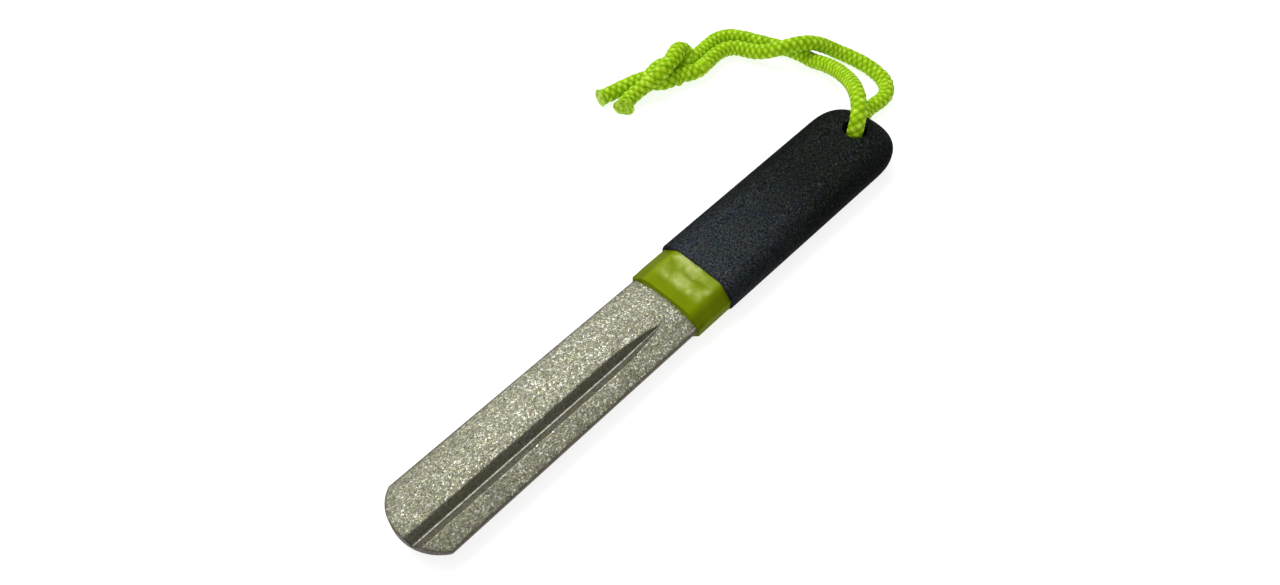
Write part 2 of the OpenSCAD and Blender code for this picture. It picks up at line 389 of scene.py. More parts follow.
def end_path(points):
    """A tail's path, with closer points in its last millimetre for the rounded end."""
    path = smooth_route(points, 0.3)
    tip = path[-1]
    axis = (tip - path[-2]).normalized()
    return path[:-3] + [tip - axis * gap * MM for gap in END_GAPS]


tails = {}
for side, points in (("a", tail_a), ("b", tail_b)):
    tube = braided_tube(end_path(points), cord_d / 2, phase=0.6 * MM, shape=melted_end(SWELLS[side]))
    tails[side] = make_piece("braided_tail_" + side, tube, ["lanyard_tail_" + side], CORD_SHARP)

# %% [markdown]
# ## Knot
# Both strands are tied together in one overhand knot. Its inside can't be seen, so it's made
# of what can: two lengths that run through side by side, and one turn that comes up behind
# them in a round bight, crosses over both on the slant and leaves as the front tail. Where a
# length meets a strand or a tail, it takes that route's end points, so the cord runs on.

# %% Knot
over_turn = [
    (55.3, 48.3, 2.3), (58.1, 49.1, 2.2), (61.4, 50.2, 2.5), (62.6, 51.4, 4.2), (61.2, 52.6, 6),
    (57.6, 51.5, 6.9), (53.9, 50.3, 7), (50.8, 50.1, 6.4), *tail_b[:2],
]
under_a = [
    *route_a[-2:], (59.7, 51.7, 3.4), (57.3, 53.2, 3.6), (54.5, 54.2, 3.3), (52, 54, 3), *tail_a[:2],
]
under_b = [
    *route_b[-2:], (58.8, 47, 3), (56, 48.6, 2.9), (53.2, 49.2, 2.7), (51.3, 50.4, 2.5),
    (50.3, 51.8, 2.4),
]
BIGHT_AT, BIGHT_SWELL = 0.43, 0.16


def bight(along, total):
    """The turn swells where it's bent tightest, at the bight."""
    return 1 + BIGHT_SWELL * smooth_step(6 * MM, 2 * MM, abs(along - BIGHT_AT * total)), 0


knot_bm = bmesh.new()
for points, radius, phase, shape in ((over_turn, 2.05, 0, bight), (under_a, 1.95, 0.4, plain),
                                     (under_b, 2.05, 1.1, plain)):
    add_mesh(knot_bm, braided_tube(smooth_route(points), radius * MM, phase * MM, shape))
knot = make_piece("overhand_knot", knot_bm, ["lanyard_knot"], CORD_SHARP)

# %% [markdown]
# ## Where the cords leave
# The point where the cords leave the hole is kept for the cord's material, and the two strands' lengths are
# worked out again.

hole_exit = tuple(c * MM for c in route_a[0])
route_length(path_a)
route_length(path_b)
print("the cords leave the hole at, mm:", [round(c / MM, 1) for c in hole_exit])

# %% [markdown] ## Floor The floor is a plain sheet, far wider than the tool.

# %% Floor
FLOOR_HALF = 3
floor_bm = bmesh.new()
bmesh.ops.create_grid(floor_bm, x_segments=1, y_segments=1, size=FLOOR_HALF)
floor_mesh = bpy.data.meshes.new("floor")
floor_bm.to_mesh(floor_mesh)
floor_bm.free()
floor = bpy.data.objects.new("floor", floor_mesh)
bpy.context.collection.objects.link(floor)

# %% [markdown]
# ## Light
# A large soft light stands on the lanyard's side of the tool, across from the camera, and a
# weaker one fills the shadows from the camera's side, so that the bevels of the green collar
# read as separate planes. Area lights give soft-edged shadows, as a studio's soft boxes do, and
# the white world lights everything evenly from all round.

# %% Lights
WORLD_STRENGTH = 0.5


def soft_light(name, place, size, watts):
    """A square area light at a place, turned to face the origin."""
    lamp = bpy.data.lights.new(name, "AREA")
    lamp.size = size
    lamp.energy = watts
    light = bpy.data.objects.new(name, lamp)
    light.location = place
    light.rotation_euler = (-Vector(place)).to_track_quat("-Z", "Y").to_euler()
    bpy.context.collection.objects.link(light)
    print(name, "light:", watts, "W")


soft_light("window", (0.06, 0.45, 0.66), 0.6, 5.3)
soft_light("fill", (-0.45, -0.35, 0.5), 0.5, 0.5)
world = bpy.data.worlds.new("studio")
world.use_nodes = True
sky = world.node_tree.nodes["Background"]
sky.inputs["Color"].default_value = (1, 1, 1, 1)
sky.inputs["Strength"].default_value = WORLD_STRENGTH
bpy.context.scene.world = world
bpy.context.scene.view_settings.view_transform = "Standard"

# %% [markdown]
# ## Shader maths
# A material here is written as Python expressions. `Wire` holds the output of a node, and
# `wire * 2 + 1` adds the two Math nodes. The reflected forms, such as `__rsub__`, make
# `1 - wire` work as well.

# %% Wire
class Wire:
    """The output of a node, with the operators that a formula needs."""

    def __init__(self, paint, socket):
        self.paint = paint
        self.socket = socket

    def math(self, operation, *values):
        return self.paint.node("Math", {"operation": operation}, dict(enumerate(values)))

    def __add__(self, other):
        return self.math("ADD", self, other)

    def __radd__(self, other):
        return self.math("ADD", other, self)

    def __sub__(self, other):
        return self.math("SUBTRACT", self, other)

    def __rsub__(self, other):
        return self.math("SUBTRACT", other, self)

    def __mul__(self, other):
        return self.math("MULTIPLY", self, other)

    def __rmul__(self, other):
        return self.math("MULTIPLY", other, self)

    def __truediv__(self, other):
        return self.math("DIVIDE", self, other)

    def __abs__(self):
        return self.math("ABSOLUTE", self)

    def least(self, other):
        return self.math("MINIMUM", self, other)

    def most(self, other):
        return self.math("MAXIMUM", self, other)

    def ramp(self, low, high):
        """0 at low, 1 at high, and held outside them."""
        ends = {"Value": self, "From Min": low, "From Max": high}
        return self.paint.node("MapRange", {"clamp": True}, ends)


print("a wire's methods:", [name for name in vars(Wire) if "__" not in name])

# %% [markdown]
# ## Nodes
# A material is built up node by node on a Principled shader. One method, `node`, adds any node:
# it sets the node's own settings first and then its sockets, each from a value or a wire.

# %% Nodes
class NodeTree:
    """A material with a Principled shader, and a method that adds nodes to it."""

    def __init__(self, name, **fixed):
        self.material = bpy.data.materials.new(name)
        self.material.use_nodes = True
        self.tree = self.material.node_tree
        self.shader = self.tree.nodes["Principled BSDF"]
        for socket, value in fixed.items():
            self.shader.inputs[socket.replace("_", " ")].default_value = value

    def put(self, socket, value):
        if isinstance(value, Wire):
            self.tree.links.new(value.socket, socket)
        elif socket.type == "RGBA" and len(value) == 3:
            socket.default_value = (*value, 1)
        else:
            socket.default_value = value

    def node(self, kind, settings=None, values=None, out=0):
        made = self.tree.nodes.new("ShaderNode" + kind)
        for key, value in (settings or {}).items():
            if key == "stops":
                while len(made.color_ramp.elements) < len(value):
                    made.color_ramp.elements.new(0.5)
                for element, (place, colour) in zip(made.color_ramp.elements, value):
                    element.position = place
                    element.color = (*colour, 1)
            else:
                setattr(made, key, value)
        for key, value in (values or {}).items():
            self.put(made.inputs[key], value)
        return Wire(self, made.outputs[out])


# %% [markdown]
# ## Paint
# `Paint` has short names for the nodes used most. Colours go through `mix`, because a Math node
# would turn them grey. All patterns read Object coordinates, which are the tool's own metres
# here, so a pattern's size is a real size.

# %% Paint
class Paint(NodeTree):
    """A material, with short names for its patterns and mixes."""

    def mix(self, factor, a, b, blend="MIX"):
        return self.node("Mix", {"data_type": "RGBA", "blend_type": blend}, {0: factor, 6: a, 7: b}, out=2)

    def colours(self, value, *stops):
        return self.node("ValToRGB", {"stops": stops}, {"Fac": value})

    def place(self):
        return self.node("TexCoord", out="Object")

    def axis(self, letter):
        return self.node("SeparateXYZ", values={"Vector": self.place()}, out=letter)

    def channel(self, colour, n):
        return self.node("SeparateColor", values={"Color": colour}, out=n)

    def noise(self, scale, detail=2.0, roughness=0.5):
        return self.node("TexNoise", values={"Vector": self.place(), "Scale": scale,
                                             "Detail": detail, "Roughness": roughness})

    def cells(self, size, out="Distance"):
        return self.node("TexVoronoi", values={"Vector": self.place(), "Scale": 1 / size}, out=out)

    def attribute(self, name):
        return self.node("Attribute", {"attribute_name": name}, out="Fac")

    def finish(self, colour, roughness=None, metallic=None, height=None, depth=0.0):
        """Feeds the shader, through a Bump node where there is a height."""
        inputs = self.shader.inputs
        for name, wire in (("Base Color", colour), ("Roughness", roughness), ("Metallic", metallic)):
            if wire is not None:
                self.put(inputs[name], wire)
        if height is not None:
            bump = self.node("Bump", values={"Height": height, "Distance": depth, "Strength": 1.0})
            self.put(inputs["Normal"], bump)
        print("material", self.material.name, len(self.tree.nodes), "nodes")
        return self.material


def dress(piece, material):
    """Gives a piece its material."""
    piece.data.materials.clear()
    piece.data.materials.append(material)


# %% [markdown]
# ## Floor finish
# Pale card with a very faint mottle. Part of what the camera sees of it is light that falls on
# it, and part is a glow of its own. A shadow takes away only the first part, so the shadows
# stay faint and the tool lies on white.

# %% Floor finish
FLOOR_GLOW = 0.78
card = Paint("white_card", Roughness=0.9, Emission_Color=(1, 1, 1, 1), Emission_Strength=FLOOR_GLOW)
mottle = card.noise(14, 3)
card_colour = card.colours(mottle, (0.3, (0.36, 0.36, 0.36)), (0.7, (0.39, 0.39, 0.39)))
dress(floor, card.finish(card_colour))

# %% [markdown]
# ## Cord finish
# The yarns are bundles of fine glossy filaments. Each lump is painted bright on its crown, a painted
# highlight, and deep green in the gap beside it, painted shade. The `yarn` attribute drives that, and a very
# fine noise stands for the filaments. The melted ends take their colours from a coarser noise, in drips, and
# are smoother. The cord is painted dark where it goes down the hole, as painted shade, because little light
# gets in there.

# %% Cord colours
cord = Paint("lime_braid", IOR=1.16)
yarn = cord.attribute("yarn")
melt = cord.attribute("melt")
mottle = cord.noise(420, 3)
fibre = cord.noise(5200, 2, 0.6)
drips = cord.noise(1100, 3, 0.6)
# painted light: the yarn height paints the crowns bright, a painted highlight, and the gaps dark, painted
# shade
crown_light_and_tone = yarn * 0.72 + mottle * 0.5 + fibre * 0.3 - 0.3
braid_with_painted_light = cord.colours(
    crown_light_and_tone,
    (0.0, (0.05, 0.17, 0.0)), (0.35, (0.17, 0.36, 0.0005)),
    (0.68, (0.34, 0.58, 0.004)), (0.95, (0.66, 0.86, 0.11)))
melted = cord.colours(
    drips,
    (0.36, (0.14, 0.3, 0.001)), (0.5, (0.34, 0.55, 0.015)), (0.64, (0.66, 0.86, 0.16)))
lime = cord.mix(melt * 0.85, braid_with_painted_light, melted)
print("cord material so far:", len(cord.tree.nodes), "nodes")

# %% Cord finish
DARK_FAR, DARK_NEAR = 3.2 * MM, 1.2 * MM
from_hole = cord.node("VectorMath", {"operation": "DISTANCE"}, {0: cord.place(), 1: hole_exit}, out=1)
# painted shade: the cord turns near black where it goes down the hole
lime = cord.mix(from_hole.ramp(DARK_FAR, DARK_NEAR) * 0.85, lime, (0.03, 0.07, 0.0))
lime_material = cord.finish(
    lime,
    roughness=(fibre * 0.3 + 0.38) - melt * 0.14,
    height=fibre * (1 - melt) + drips * melt * 5, depth=0.06 * MM)
for piece in (strand_a, strand_b, knot, tails["a"], tails["b"]):
    dress(piece, lime_material)

# %% [markdown]
# ## Sizes of the handle
# The main sizes come from the CAD nodes' boxes, so the visible pieces sit where the CAD says.
# The handle's sections are superellipses: with a power of 2 they would be ovals, and a higher
# power fills out the corners.

# %% Handle sizes
core_box, blade_box, grip_box = (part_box(n) for n in ("handle_core", "steel_blade", "grip_sleeve"))
tip_x = blade_box[0][0]
end_x = grip_box[1][0]
collar_x = core_box[0][0]
grip_x = grip_box[0][0]
grip_top = grip_box[1][2]
mid_z = grip_top / 2
SECTION_POWER = 2.6
print("collar from", round(collar_x / MM, 2), "to", round(grip_x / MM, 2), "mm")

# %% [markdown]
# ## Hidden parts
# The core's carrier inside the grip and the file's tang are never seen. The CAD nodes already
# have the right shape, so they are copied, cut off just behind the visible part, and closed.
# The CAD's own meshes are left alone.

# %% Copies of CAD nodes
def cad_part(node, cut_x, stretch_to=None):
    """A merged copy of a CAD node's mesh on the +X side of cut_x, closed where it's cut."""
    bm = bmesh.new()
    bm.from_mesh(bpy.data.objects[node].data)
    bmesh.ops.remove_doubles(bm, verts=bm.verts, dist=MICRON)
    bmesh.ops.bisect_plane(bm, geom=[*bm.verts, *bm.edges, *bm.faces], dist=0.1 * MICRON,
                           plane_co=(cut_x, 0, 0), plane_no=(1, 0, 0), clear_inner=True)
    bmesh.ops.holes_fill(bm, edges=[e for e in bm.edges if e.is_boundary], sides=0)
    if stretch_to is not None:
        for vert in bm.verts:
            if abs(vert.co.x - cut_x) < MICRON:
                vert.co.x = stretch_to
    print("copied", node, "from x =", round(cut_x / MM, 1), "mm:", len(bm.faces), "faces")
    return bm


# %% [markdown]
# ## Collar
# The collar is the part of the green core that shows in front of the grip. Its top is a satin
# pad with a sloped front and long sloped sides, and it has shallow sink marks, as thick
# mouldings do. It could be cut from a block with bevels, but its slopes fade into one another,
# so it's a grid rolled into a closed section and carried along X: each slope is then one short
# formula of the height.

# %% Collar section
COLLAR_HALF, COLLAR_TOP = 10.1 * MM, 9.25 * MM
FOOT, SIDE_WALL = 2.6 * MM, 2 * MM
ARCH_SHARE = 0.7
low_corners = [
    (-COLLAR_HALF, mid_z), (-COLLAR_HALF, mid_z - SIDE_WALL), (FOOT - COLLAR_HALF, 0),
    (COLLAR_HALF - FOOT, 0), (COLLAR_HALF, mid_z - SIDE_WALL), (COLLAR_HALF, mid_z),
]


def collar_outline(t):
    """The collar's section: y and z at the fraction t of the way round."""
    if t < ARCH_SHARE:
        a = math.radians(-90 + 180 * t / ARCH_SHARE)
        y = -math.copysign(abs(math.sin(a)) ** (2 / SECTION_POWER), a) * COLLAR_HALF
        z = mid_z + (COLLAR_TOP - mid_z) * max(0, math.cos(a)) ** (2 / SECTION_POWER)
        return y, z
    place = (t - ARCH_SHARE) / (1 - ARCH_SHARE) * 5
    i = min(4, int(place))
    return tuple(lerp(a, b, place - i) for a, b in zip(low_corners[i], low_corners[i + 1]))


print("collar crown at, mm:", [round(c / MM, 2) for c in collar_outline(ARCH_SHARE / 2)])

# %% Collar pad and slopes
PAD_LEFT, PAD_RIGHT = 6.3 * MM, -6.8 * MM
LEFT_SLOPE, RIGHT_SLOPE = 0.8, 1.1
PAD_FRONT_LEFT, PAD_FRONT_RIGHT = 3.3 * MM, 2.7 * MM
FRONT_DROP, PAD_CROWN, BEND = 0.75 * MM, 0.3 * MM, 0.5 * MM
SINK_X, SINK_Y = 6 * MM, -2.4 * MM
SINK_LEN, SINK_WIDTH = 1.2 * MM, 3.4 * MM
SINK_DEPTH, RIPPLE = 0.2, 0.09


def collar_height(x, y, z):
    """The top's height, with the pad's flat, its slopes and its shallow sink marks."""
    if z <= mid_z:
        return z
    top_share = smooth_step(mid_z + 0.2 * MM, mid_z + 1.6 * MM, z)
    side = max(y - PAD_LEFT, PAD_RIGHT - y)
    flat = COLLAR_TOP - PAD_CROWN * (y / COLLAR_HALF) ** 2
    bent = 0.5 * (side + math.hypot(side, BEND)) * (LEFT_SLOPE if y > 0 else RIGHT_SLOPE)
    z = lerp(z, min(flat - bent, z + 0.6 * MM), top_share)
    across = (PAD_LEFT - y) / (PAD_LEFT - PAD_RIGHT)
    front_len = lerp(PAD_FRONT_LEFT, PAD_FRONT_RIGHT, min(1, max(0, across)))
    ahead = max(0, 1 - (x - collar_x) / front_len)
    z -= FRONT_DROP * ahead * top_share
    on_pad = smooth_step(0, 1 * MM, -side) * smooth_step(front_len, front_len + 1 * MM, x - collar_x)
    dip = SINK_DEPTH * math.exp(-((x - SINK_X) / SINK_LEN) ** 2 - ((y - SINK_Y) / SINK_WIDTH) ** 2)
    dip += RIPPLE * noise.noise(Vector((x * 420, y * 300, 3)))
    return z - dip * MM * on_pad


print("height at the collar's front, mm:", round(collar_height(collar_x, 0, COLLAR_TOP) / MM, 2))

# %% Moulded core
COLLAR_COLUMNS, COLLAR_ROWS = 52, 200
core_bm = rolled_grid(COLLAR_COLUMNS, COLLAR_ROWS)
for vert in core_bm.verts:
    x = lerp(collar_x, grip_x, vert.co.x)
    y, z = collar_outline(vert.co.y % 1)
    vert.co = x, y, collar_height(x, y, z)
bmesh.ops.remove_doubles(core_bm, verts=core_bm.verts, dist=MICRON)
cap_open_ends(core_bm)
round_edges(core_bm, edges_at(core_bm, collar_x), 0.22 * MM, 3)
add_mesh(core_bm, cad_part("handle_core", grip_x + 0.2 * MM, stretch_to=grip_x - 0.5 * MM))
core = make_piece("moulded_core", core_bm, ["handle_core"], 28)

# %% [markdown]
# ## Rubber grip
# The grip is a superellipse in section and in plan: fuller than an oval, and flat only where it
# lies on the table. A stretched sphere would pinch at the handle's end, so a grid goes along
# one side, round the end and back along the other, and its rows climb from the base to the
# crown. The part of the base that lies on the table becomes one flat face, so that the drill
# meets one face there instead of many slivers.

# %% Grip form
FRONT_HALF, BACK_HALF = 10.75 * MM, grip_box[1][1]
END_LEN, BASE_STRETCH = 12.2 * MM, 1.06
GRIP_COLUMNS, GRIP_ROWS = 180, 64
round_x = end_x - END_LEN


def rounded(share):
    """The share of a superellipse's axis for a signed sine or cosine."""
    return math.copysign(abs(share) ** (2 / SECTION_POWER), share)


def grip_point(p, q):
    """A place on the grip: p goes round it in plan, and q climbs from the base to the crown."""
    a = math.radians(-90 + 180 * q)
    k = rounded(max(0, math.cos(a)))
    rise = rounded(math.sin(a))
    z = max(0, mid_z + mid_z * (rise if rise > 0 else rise * BASE_STRETCH))
    third = min(p, 1 - p) * 3
    side = 1 if p < 0.5 else -1
    if third < 1:
        half = lerp(FRONT_HALF, BACK_HALF, third)
        return lerp(grip_x, round_x, third), side * k * half, z
    b = math.pi / 2 * (third - 1) * 2
    return round_x + k * END_LEN * rounded(math.sin(b)), side * k * BACK_HALF * rounded(math.cos(b)), z


grip_bm = rolled_grid(GRIP_COLUMNS, GRIP_ROWS)
for vert in grip_bm.verts:
    vert.co = grip_point(round(vert.co.x * GRIP_COLUMNS) / GRIP_COLUMNS, vert.co.y)
bmesh.ops.remove_doubles(grip_bm, verts=grip_bm.verts, dist=2 * MICRON)
bmesh.ops.dissolve_degenerate(grip_bm, edges=grip_bm.edges, dist=MICRON)
cap_open_ends(grip_bm)
base_faces = [f for f in grip_bm.faces if all(v.co.z < 0.5 * MICRON for v in f.verts)]
bmesh.ops.dissolve_faces(grip_bm, faces=base_faces, use_verts=True)
round_edges(grip_bm, edges_at(grip_bm, grip_x), 0.25 * MM, 3)
grip = make_piece("rubber_grip", grip_bm, ["grip_sleeve"], 30)

# %% [markdown]
# ## Lanyard hole
# The lanyard goes down through the handle. A drilled hole is just what a Boolean modifier is
# good at, so the hole is cut with one. The drill is a profile spun round the Z axis, and it
# flares out at the top, so the hole comes out with a rounded mouth: that is surer than
# bevelling the mouth afterwards, where small faces meet it from all sides.

# %% Cutting
def cut_away(piece, cutter_bm):
    """Cuts a closed bmesh out of a piece with a Boolean modifier, and applies it."""
    mesh = bpy.data.meshes.new("cutter")
    cutter_bm.to_mesh(mesh)
    cutter_bm.free()
    cutter = bpy.data.objects.new("cutter", mesh)
    bpy.context.collection.objects.link(cutter)
    boolean = piece.modifiers.new("cut", "BOOLEAN")
    boolean.operation = "DIFFERENCE"
    boolean.solver = "EXACT"
    boolean.object = cutter
    graph = bpy.context.evaluated_depsgraph_get()
    cut_mesh = bpy.data.meshes.new_from_object(piece.evaluated_get(graph))
    piece.modifiers.clear()
    piece.data = cut_mesh
    bpy.data.objects.remove(cutter)
    print("cut", piece.name, "->", len(cut_mesh.polygons), "faces")


# %% Drill
HOLE_R, HOLE_X, MOUTH_R = 3.1 * MM, 67.25 * MM, 0.35 * MM
DRILL_SIDES, MOUTH_STEPS = 64, 5
DRILL_MARGIN = 5 * MM
drill_profile = [(HOLE_R, -DRILL_MARGIN)]
for step in range(MOUTH_STEPS + 1):
    a = math.radians(90 / MOUTH_STEPS * step)
    flare = MOUTH_R * (1 - math.cos(a))
    drop = MOUTH_R * (1 - math.sin(a))
    drill_profile.append((HOLE_R + flare, grip_top - drop))
drill_profile.append((HOLE_R + MOUTH_R, grip_top + DRILL_MARGIN))
drill = bmesh.new()
corners = [drill.verts.new((radius, 0, z)) for radius, z in drill_profile]
chain = [drill.edges.new(pair) for pair in zip(corners, corners[1:])]
bmesh.ops.spin(drill, geom=[*corners, *chain], cent=(0, 0, 0), axis=(0, 0, 1),
               angle=2 * math.pi, steps=DRILL_SIDES, use_merge=True)
cap_open_ends(drill)
bmesh.ops.rotate(drill, verts=drill.verts, matrix=Matrix.Rotation(math.pi / DRILL_SIDES, 3, "Z"))
bmesh.ops.translate(drill, verts=drill.verts, vec=(HOLE_X, 0, 0))
cut_away(grip, drill)

# %% [markdown]
# ## Channel and hollow
# Strand B leaves under the handle's end, so a channel for it is let into the base, as a rounded
# box that starts at the hole. Last, the core's copy cuts the hollow that the core fills. All
# these cuts leave new faces, so the grip is shaded smooth again.

# %% Channel and hollow
CHANNEL_W, CHANNEL_H, CHANNEL_TURN = 5 * MM, 4.8 * MM, math.radians(20)
CHANNEL_LEN, CHANNEL_ROUND = 20 * MM, 1.2 * MM
channel = bmesh.new()
bmesh.ops.create_cube(channel, size=1)
bmesh.ops.scale(channel, verts=channel.verts, vec=(CHANNEL_LEN, CHANNEL_W, 2 * CHANNEL_H))
bmesh.ops.translate(channel, verts=channel.verts, vec=(CHANNEL_LEN / 2, 0, 0))
round_edges(channel, channel.edges, CHANNEL_ROUND, 5)
bmesh.ops.rotate(channel, verts=channel.verts, matrix=Matrix.Rotation(CHANNEL_TURN, 3, "Z"))
bmesh.ops.translate(channel, verts=channel.verts, vec=(HOLE_X, 0, 0))
cut_away(grip, channel)
cut_away(grip, cad_part("handle_core", grip_x + 1 * MM, stretch_to=grip_x - 1 * MM))
shade_smooth(grip.data, 40)

# %% [markdown]
# ## Steel file
# The file's top is a shallow arc across its width, with a V groove off to one side where fish
# hooks and points are ground. The groove runs straight from the tip and lifts out on the big
# radius of the wheel that ground it. It was cut square to the surface, so angles about the
# arc's centre are the handy measure here.

# %% File sizes
BLADE_HALF, BLADE_BASE = 9.5 * MM, 3.9 * MM
CROWN_RISE, CROWN_TOP = 2.2 * MM, 7.2 * MM
TIP_SAGITTA = 5.1 * MM
GROOVE_OFFSET, GROOVE_DEPTH, GROOVE_GAP = 3.6 * MM, 1.95 * MM, 4.5 * MM
WHEEL_R = 70 * MM
crown_r = (BLADE_HALF ** 2 + CROWN_RISE ** 2) / (2 * CROWN_RISE)
crown_z = CROWN_TOP - crown_r
tip_r = (BLADE_HALF ** 2 + TIP_SAGITTA ** 2) / (2 * TIP_SAGITTA)
edge_turn = math.asin(BLADE_HALF / crown_r)
groove_turn = -math.asin(GROOVE_OFFSET / crown_r)
wheel_x = collar_x - GROOVE_GAP - math.sqrt(2 * WHEEL_R * GROOVE_DEPTH)
blade_end = collar_x + 0.8 * MM
print("crown radius:", round(crown_r / MM, 1), "mm, tip radius:", round(tip_r / MM, 1), "mm")

# %% [markdown]
# ## Outline and groove
# Two formulas describe the top. One gives the tip's rounded edge, and one the groove's bottom
# and how far its rims lie from it. The rims wander a little, as they do where a wheel breaks
# through a coated skin, and noise at two sizes gives that.

# %% Outline and groove
LEAST_RIM = 0.004 * MM


def tip_edge(y):
    """Where the rounded tip's edge is, at a distance from the middle."""
    return tip_x + tip_r - math.sqrt(tip_r ** 2 - min(y ** 2, tip_r ** 2))


def groove_at(x, side):
    """The radius of the groove's bottom at x, and the angle from it to one rim."""
    past = max(0, x - wheel_x)
    depth = GROOVE_DEPTH - WHEEL_R + math.sqrt(WHEEL_R ** 2 - past ** 2)
    bottom_r = crown_r - max(0, depth)
    reach = (math.sqrt(2 * crown_r ** 2 - bottom_r ** 2) - bottom_r) / 2
    wander = 0.15 * MM * noise.noise(Vector((x * 260, side * 5, 0)))
    wander += 0.08 * MM * noise.noise(Vector((x * 900, side * 9, 4)))
    share = min(1, reach / MM) * (1.0 if side > 0 else 0.7)
    return bottom_r, max(LEAST_RIM, reach + wander * share) / crown_r


print("the groove keeps its full depth for", round((wheel_x - tip_x) / MM, 1), "mm")

# %% [markdown]
# ## File top
# The grid's rows are gathered by angle, so that three of them lie on the groove's two rims and
# its bottom, which keeps those lines crisp. A row's x depends on the tip's edge at its y, and
# the rims' y depends on x, so each vertex is worked out three times over, which settles it.
# Three attributes are stored for the material: `groove` on the ground walls, `valley` along
# the bottom, and `rim` near the file's outer edge.

# %% File top
RIGHT_ROWS, WALL_ROWS, LEFT_ROWS, FILE_COLUMNS = 18, 12, 46, 230
SETTLING_ROUNDS = 3
valley_row = RIGHT_ROWS + WALL_ROWS
file_rows = RIGHT_ROWS + 2 * WALL_ROWS + LEFT_ROWS


def top_point(x, row):
    """The y and z of one row at x, the row's share of the way up a wall, and the rim's angle."""
    side = 1 if row > valley_row else -1
    bottom_r, rim_turn = groove_at(x, side)
    up_wall = abs(row - valley_row) / WALL_ROWS
    rim_at = groove_turn + side * rim_turn
    if up_wall < 1:
        rim_y, rim_z = crown_r * math.sin(rim_at), crown_z + crown_r * math.cos(rim_at)
        y = lerp(bottom_r * math.sin(groove_turn), rim_y, up_wall)
        z = lerp(crown_z + bottom_r * math.cos(groove_turn), rim_z, up_wall)
        return y, z, up_wall, rim_turn
    if side < 0:
        turn = lerp(-edge_turn, rim_at, row / RIGHT_ROWS)
    else:
        turn = lerp(rim_at, edge_turn, (row - RIGHT_ROWS - 2 * WALL_ROWS) / LEFT_ROWS)
    return crown_r * math.sin(turn), crown_z + crown_r * math.cos(turn), up_wall, rim_turn


file_bm = rolled_grid(FILE_COLUMNS, file_rows)
groove_mask = file_bm.verts.layers.float.new("groove")
valley_mask = file_bm.verts.layers.float.new("valley")
rim_mask = file_bm.verts.layers.float.new("rim")
for vert in file_bm.verts:
    u = vert.co.x
    row = round(vert.co.y * file_rows)
    x = lerp(tip_x, blade_end, u)
    for _ in range(SETTLING_ROUNDS):
        y, z, up_wall, rim_turn = top_point(x, row)
        x = lerp(tip_edge(y), blade_end, u)
    deep = smooth_step(0.1 * MM, 0.5 * MM, rim_turn * crown_r)
    vert[groove_mask] = deep if up_wall < 1 else 0
    vert[valley_mask] = deep if row in (valley_row, valley_row - 1) else 0
    vert[rim_mask] = math.exp(-min(BLADE_HALF - abs(y), x - tip_edge(y)) / (0.35 * MM))
    vert.co = x, y, z
bmesh.ops.remove_doubles(file_bm, verts=file_bm.verts, dist=12 * MICRON)
print("file top:", len(file_bm.faces), "faces, groove from", round(-GROOVE_OFFSET / MM, 1), "mm")

# %% [markdown]
# ## File walls, base and tang
# The top's open edge is extruded down to the flat base, which is then closed. The wall's two
# edges get a small round, apart from where the groove runs out through the tip: its corners
# are sharp on the real one. The tang is the CAD node's own.

# %% File walls, base and tang
GROOVE_CLEAR = 2.4 * MM
top_edges = [e for e in file_bm.edges if e.is_boundary]
walls = bmesh.ops.extrude_edge_only(file_bm, edges=top_edges)["geom"]
for vert in (g for g in walls if isinstance(g, bmesh.types.BMVert)):
    vert.co.z = BLADE_BASE
bottom_edges = cap_open_ends(file_bm)


def to_round(edge):
    """Whether an edge is in the open, and well away from the groove's end."""
    return all(v.co.x < blade_end - 1 * MM and abs(v.co.y + GROOVE_OFFSET) > GROOVE_CLEAR
               for v in edge.verts)


round_edges(file_bm, [e for e in top_edges + bottom_edges if e.is_valid and to_round(e)], 0.12 * MM, 2)
add_mesh(file_bm, cad_part("steel_blade", collar_x + 0.4 * MM))
steel = make_piece("grit_file", file_bm, ["steel_blade"], 38)

# %% [markdown]
# ## Grit finish
# The file is coated with abrasive grains of a quarter to half a millimetre, held in dull metal.
# Voronoi cells are the right pattern for grains: each cell gets its own brightness and tint,
# and the distance to its middle raises it. Two sizes of cells are used together, and slower
# noise makes clouds and patches of colour in them.

# %% Grains
COARSE, FINE = 0.5 * MM, 0.27 * MM
TIP_FADE_FROM, TIP_FADE_TO = -46 * MM, -72 * MM
grit = Paint("grit_coat")
coarse_colour = grit.cells(COARSE, out="Color")
fine_colour = grit.cells(FINE, out="Color")
cloud = grit.noise(260, 3, 0.6)
patch = grit.noise(520, 2, 0.5)
shade = grit.channel(coarse_colour, 0) * 0.28 + grit.channel(fine_colour, 0) * 0.72 + (cloud - 0.5) * 0.3
tip_share = grit.axis("X").ramp(TIP_FADE_FROM, TIP_FADE_TO)
grains = grit.colours(
    shade - tip_share * 0.09 - 0.02,
    (0.0, (0.1, 0.096, 0.07)), (0.25, (0.185, 0.182, 0.13)), (0.5, (0.27, 0.267, 0.2)),
    (0.72, (0.39, 0.386, 0.3)), (0.9, (0.86, 0.86, 0.76)))
tints = grit.colours(
    grit.channel(coarse_colour, 1) * 0.4 + patch * 0.6,
    (0.25, (0.88, 1.0, 0.76)), (0.42, (1.0, 0.98, 0.8)), (0.53, (1.0, 0.89, 0.93)),
    (0.63, (0.86, 0.95, 1.0)), (0.8, (1.0, 0.97, 0.7)))
grains = grit.mix(0.75, grains, tints, "MULTIPLY")
print("grains:", len(grit.tree.nodes), "nodes")
